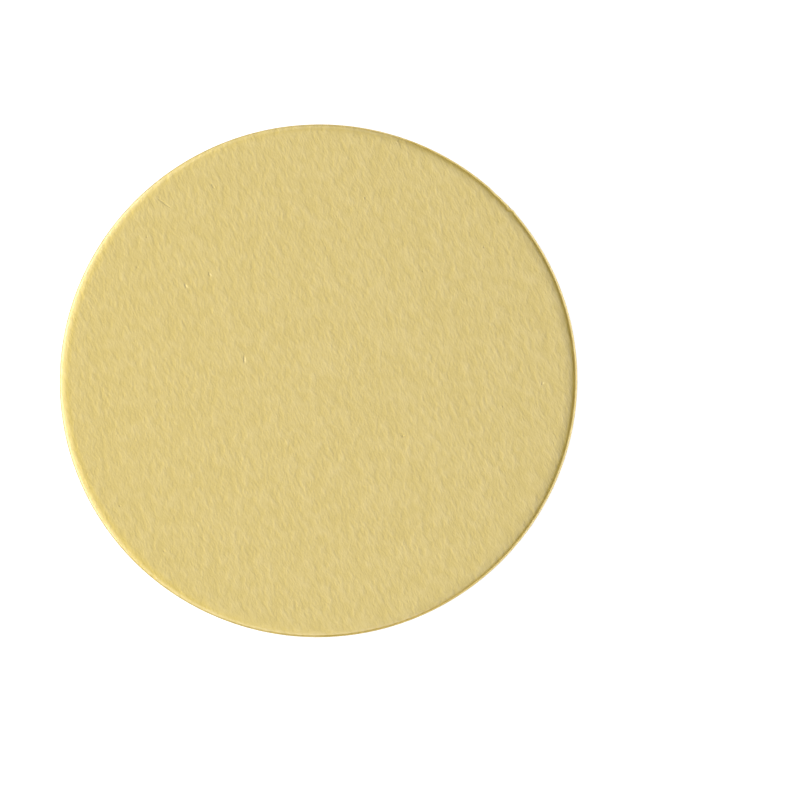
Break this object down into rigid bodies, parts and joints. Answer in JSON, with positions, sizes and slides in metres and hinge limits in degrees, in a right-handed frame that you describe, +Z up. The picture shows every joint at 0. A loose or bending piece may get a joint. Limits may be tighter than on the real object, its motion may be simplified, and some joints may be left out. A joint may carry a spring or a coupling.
{
  "type": "round cake board",
  "caption": "Round flat greyboard cake board with a gold foil face, a rounded pressed-down shoulder and a thin lip at its cut edge.",
  "frame": {"origin": "centre of the flat underside, on the surface the board lies on", "axes": "+Z up out of the gold face, along the disc's axis; +X to the picture's right, +Y to the picture's top"},
  "size_m": [0.2032, 0.2032, 0.0022],
  "materials": {
    "greyboard": "matte uncoated recycled board, fine mottled fibres with sparse dark specks",
    "gold_foil": "satin metallised gold foil on backing paper, with the board's fibres showing through as fine slanting streaks"
  },
  "bodies": {
    "root": {"greyboard_core": "greyboard", "gold_foil_facing": "gold_foil"}
  },
  "joints": []
}
